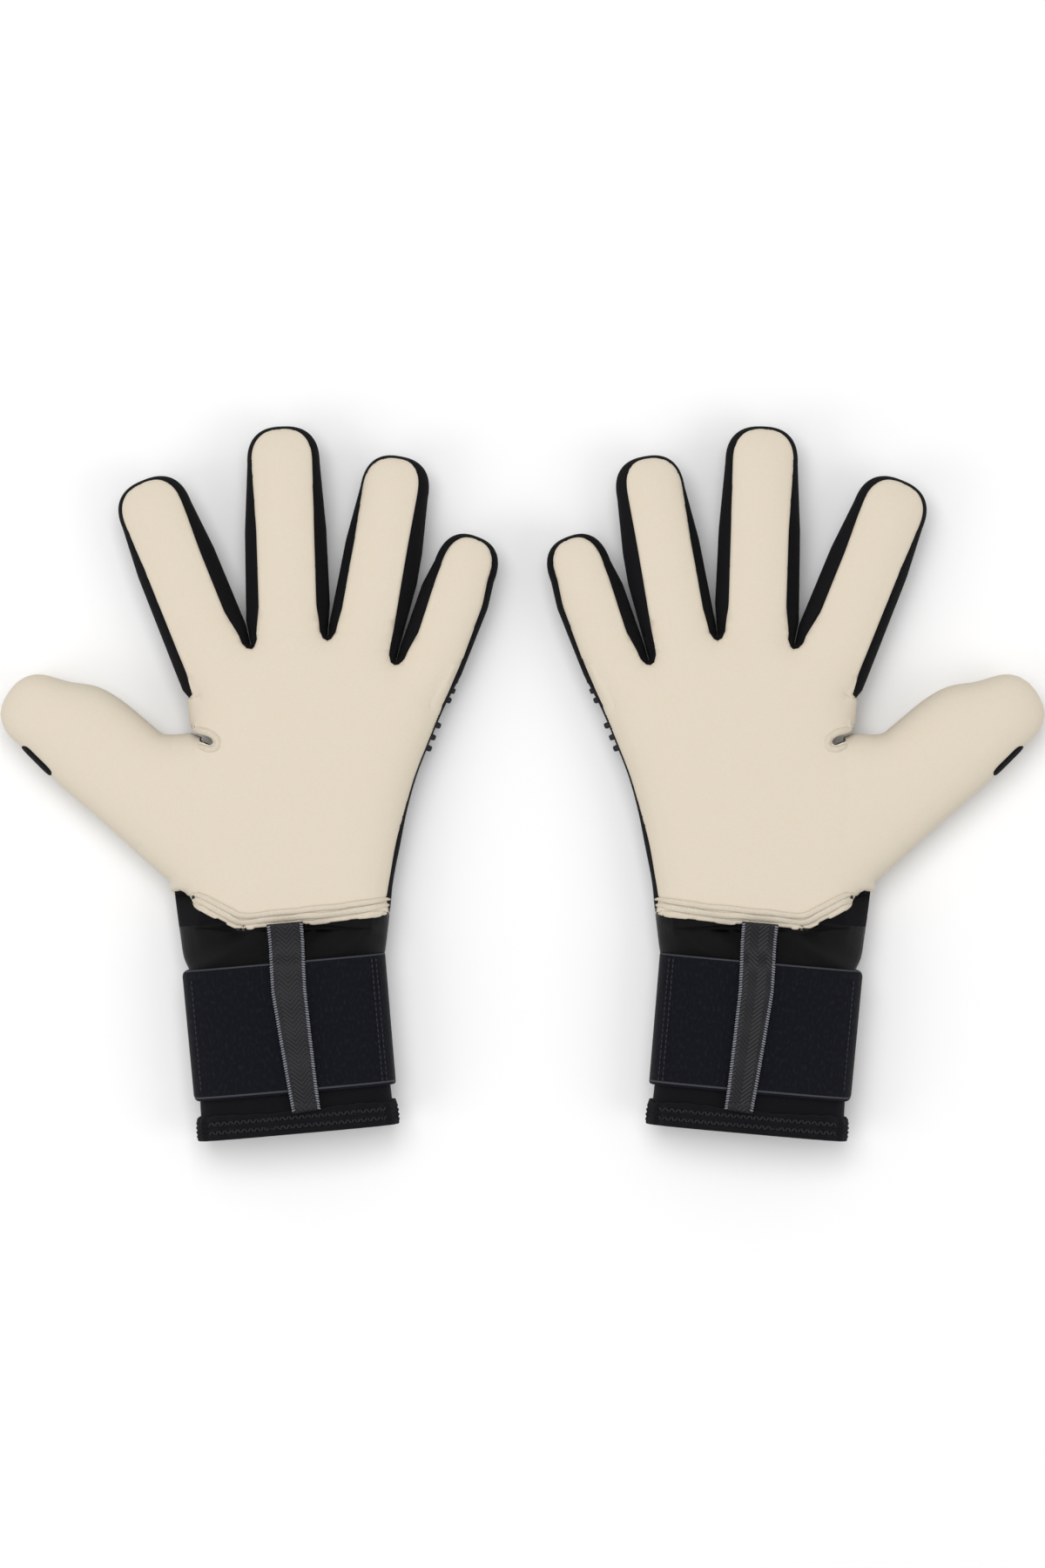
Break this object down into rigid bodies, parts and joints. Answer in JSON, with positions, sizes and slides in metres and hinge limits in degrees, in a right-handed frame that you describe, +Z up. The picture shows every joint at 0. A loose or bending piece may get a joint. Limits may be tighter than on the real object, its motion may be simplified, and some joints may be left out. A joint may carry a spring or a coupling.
{
  "type": "goalkeeper gloves",
  "caption": "Pair of goalkeeper gloves with foam latex palms, knit finger gussets, elastic wrist straps, pull tapes and ribbed cuff bands, lying palm up.",
  "frame": {"origin": "floor under the centre of the pair, midway between the two gloves", "axes": "+X from the left-hand glove to the right-hand glove, +Y from the cuffs to the fingertips, +Z up from the backs to the palms"},
  "size_m": [0.4196, 0.2882, 0.0323],
  "materials": {
    "palm_latex": "smooth matte latex foam, cream",
    "body_fabric": "black ribbed knit and backhand fabric",
    "wrist_fabric": "smooth black jersey over foam, soft sheen",
    "punch_rubber": "matte black moulded rubber",
    "cuff_elastic": "black ribbed knit elastic",
    "strap_elastic": "navy black woven elastic with light grey edge lines",
    "strap_tab": "woven elastic with a hook patch",
    "pull_tape": "black twill tape with looped light grey edges"
  },
  "bodies": {
    "left_hand": {"left_hand_shell": "body_fabric", "left_palm_latex": "palm_latex", "left_palm_trim": "palm_latex", "left_wrist_panel": "wrist_fabric", "left_punch_pads": "punch_rubber"},
    "left_wrist_cuff": {"left_cuff": "wrist_fabric", "left_cuff_band": "cuff_elastic", "left_wrist_strap": "strap_elastic", "left_pull_tape": "pull_tape"},
    "left_tab": {"left_strap_tab": "strap_tab"},
    "left_index_base": {"left_index_base_front": "palm_latex", "left_index_base_shell": "body_fabric"},
    "left_index_tip": {"left_index_tip_front": "palm_latex", "left_index_tip_shell": "body_fabric"},
    "left_middle_base": {"left_middle_base_front": "palm_latex", "left_middle_base_shell": "body_fabric"},
    "left_middle_tip": {"left_middle_tip_front": "palm_latex", "left_middle_tip_shell": "body_fabric"},
    "left_ring_base": {"left_ring_base_front": "palm_latex", "left_ring_base_shell": "body_fabric"},
    "left_ring_tip": {"left_ring_tip_front": "palm_latex", "left_ring_tip_shell": "body_fabric"},
    "left_little_base": {"left_little_base_front": "palm_latex", "left_little_base_shell": "body_fabric"},
    "left_little_tip": {"left_little_tip_front": "palm_latex", "left_little_tip_shell": "body_fabric"},
    "left_thumb_base": {"left_thumb_base_front": "palm_latex", "left_thumb_base_shell": "body_fabric"},
    "left_thumb_tip": {"left_thumb_tip_front": "palm_latex", "left_thumb_tip_shell": "body_fabric"},
    "right_hand": {"right_hand_shell": "body_fabric", "right_palm_latex": "palm_latex", "right_palm_trim": "palm_latex", "right_wrist_panel": "wrist_fabric", "right_punch_pads": "punch_rubber"},
    "right_wrist_cuff": {"right_cuff": "wrist_fabric", "right_cuff_band": "cuff_elastic", "right_wrist_strap": "strap_elastic", "right_pull_tape": "pull_tape"},
    "right_tab": {"right_strap_tab": "strap_tab"},
    "right_index_base": {"right_index_base_front": "palm_latex", "right_index_base_shell": "body_fabric"},
    "right_index_tip": {"right_index_tip_front": "palm_latex", "right_index_tip_shell": "body_fabric"},
    "right_middle_base": {"right_middle_base_front": "palm_latex", "right_middle_base_shell": "body_fabric"},
    "right_middle_tip": {"right_middle_tip_front": "palm_latex", "right_middle_tip_shell": "body_fabric"},
    "right_ring_base": {"right_ring_base_front": "palm_latex", "right_ring_base_shell": "body_fabric"},
    "right_ring_tip": {"right_ring_tip_front": "palm_latex", "right_ring_tip_shell": "body_fabric"},
    "right_little_base": {"right_little_base_front": "palm_latex", "right_little_base_shell": "body_fabric"},
    "right_little_tip": {"right_little_tip_front": "palm_latex", "right_little_tip_shell": "body_fabric"},
    "right_thumb_base": {"right_thumb_base_front": "palm_latex", "right_thumb_base_shell": "body_fabric"},
    "right_thumb_tip": {"right_thumb_tip_front": "palm_latex", "right_thumb_tip_shell": "body_fabric"}
  },
  "joints": [
    {"name": "left_wrist_bend", "type": "hinge", "parent": "left_hand", "child": "left_wrist_cuff", "pos_m": [-0.0969, -0.0628, 0.017], "axis": [-0.996, -0.0889, 0], "range_deg": [-30, 45]},
    {"name": "left_tab_open", "type": "hinge", "parent": "left_wrist_cuff", "child": "left_tab", "pos_m": [-0.0659, -0.09517, 0], "axis": [0.0889, -0.996, 0], "range_deg": [0, 150]},
    {"name": "left_index_base_bend", "type": "hinge", "parent": "left_hand", "child": "left_index_base", "pos_m": [-0.1285, 0.062, 0.02], "axis": [1, 0, 0], "range_deg": [0, 70]},
    {"name": "left_index_tip_bend", "type": "hinge", "parent": "left_index_base", "child": "left_index_tip", "pos_m": [-0.14049, 0.09167, 0.02], "axis": [0.9272, 0.3746, 0], "range_deg": [0, 80]},
    {"name": "left_middle_base_bend", "type": "hinge", "parent": "left_hand", "child": "left_middle_base", "pos_m": [-0.0943, 0.068, 0.02], "axis": [1, 0, 0], "range_deg": [0, 70]},
    {"name": "left_middle_tip_bend", "type": "hinge", "parent": "left_middle_base", "child": "left_middle_tip", "pos_m": [-0.09549, 0.10598, 0.02], "axis": [0.9995, 0.0314, 0], "range_deg": [0, 80]},
    {"name": "left_ring_base_bend", "type": "hinge", "parent": "left_hand", "child": "left_ring_base", "pos_m": [-0.0612, 0.066, 0.02], "axis": [1, 0, 0], "range_deg": [0, 70]},
    {"name": "left_ring_tip_bend", "type": "hinge", "parent": "left_ring_base", "child": "left_ring_tip", "pos_m": [-0.05509, 0.09894, 0.02], "axis": [0.9833, -0.1822, 0], "range_deg": [0, 80]},
    {"name": "left_little_base_bend", "type": "hinge", "parent": "left_hand", "child": "left_little_base", "pos_m": [-0.0345, 0.056, 0.02], "axis": [0.9903, -0.1392, 0], "range_deg": [0, 70]},
    {"name": "left_little_tip_bend", "type": "hinge", "parent": "left_little_base", "child": "left_little_tip", "pos_m": [-0.02644, 0.07754, 0.02], "axis": [0.9367, -0.3502, 0], "range_deg": [0, 80]},
    {"name": "left_thumb_base_bend", "type": "hinge", "parent": "left_hand", "child": "left_thumb_base", "pos_m": [-0.1498, -0.0025, 0.02], "axis": [0.5807, 0.8141, 0], "range_deg": [0, 50]},
    {"name": "left_thumb_tip_bend", "type": "hinge", "parent": "left_thumb_base", "child": "left_thumb_tip", "pos_m": [-0.17748, 0.01724, 0.02], "axis": [0.5807, 0.8141, 0], "range_deg": [0, 80]},
    {"name": "right_wrist_bend", "type": "hinge", "parent": "right_hand", "child": "right_wrist_cuff", "pos_m": [0.0969, -0.0628, 0.017], "axis": [-0.996, 0.0889, 0], "range_deg": [-30, 45]},
    {"name": "right_tab_open", "type": "hinge", "parent": "right_wrist_cuff", "child": "right_tab", "pos_m": [0.0659, -0.09517, 0], "axis": [0.0889, 0.996, 0], "range_deg": [0, 150]},
    {"name": "right_index_base_bend", "type": "hinge", "parent": "right_hand", "child": "right_index_base", "pos_m": [0.1285, 0.062, 0.02], "axis": [1, 0, 0], "range_deg": [0, 70]},
    {"name": "right_index_tip_bend", "type": "hinge", "parent": "right_index_base", "child": "right_index_tip", "pos_m": [0.14049, 0.09167, 0.02], "axis": [0.9272, -0.3746, 0], "range_deg": [0, 80]},
    {"name": "right_middle_base_bend", "type": "hinge", "parent": "right_hand", "child": "right_middle_base", "pos_m": [0.0943, 0.068, 0.02], "axis": [1, 0, 0], "range_deg": [0, 70]},
    {"name": "right_middle_tip_bend", "type": "hinge", "parent": "right_middle_base", "child": "right_middle_tip", "pos_m": [0.09549, 0.10598, 0.02], "axis": [0.9995, -0.0314, 0], "range_deg": [0, 80]},
    {"name": "right_ring_base_bend", "type": "hinge", "parent": "right_hand", "child": "right_ring_base", "pos_m": [0.0612, 0.066, 0.02], "axis": [1, 0, 0], "range_deg": [0, 70]},
    {"name": "right_ring_tip_bend", "type": "hinge", "parent": "right_ring_base", "child": "right_ring_tip", "pos_m": [0.05509, 0.09894, 0.02], "axis": [0.9833, 0.1822, 0], "range_deg": [0, 80]},
    {"name": "right_little_base_bend", "type": "hinge", "parent": "right_hand", "child": "right_little_base", "pos_m": [0.0345, 0.056, 0.02], "axis": [0.9903, 0.1392, 0], "range_deg": [0, 70]},
    {"name": "right_little_tip_bend", "type": "hinge", "parent": "right_little_base", "child": "right_little_tip", "pos_m": [0.02644, 0.07754, 0.02], "axis": [0.9367, 0.3502, 0], "range_deg": [0, 80]},
    {"name": "right_thumb_base_bend", "type": "hinge", "parent": "right_hand", "child": "right_thumb_base", "pos_m": [0.1498, -0.0025, 0.02], "axis": [0.5807, -0.8141, 0], "range_deg": [0, 50]},
    {"name": "right_thumb_tip_bend", "type": "hinge", "parent": "right_thumb_base", "child": "right_thumb_tip", "pos_m": [0.17748, 0.01724, 0.02], "axis": [0.5807, -0.8141, 0], "range_deg": [0, 80]},
    {"name": "lift_right_glove", "type": "slide", "parent": "left_hand", "child": "right_hand", "axis": [0, 0, 1], "range_m": [0, 0.1]}
  ]
}
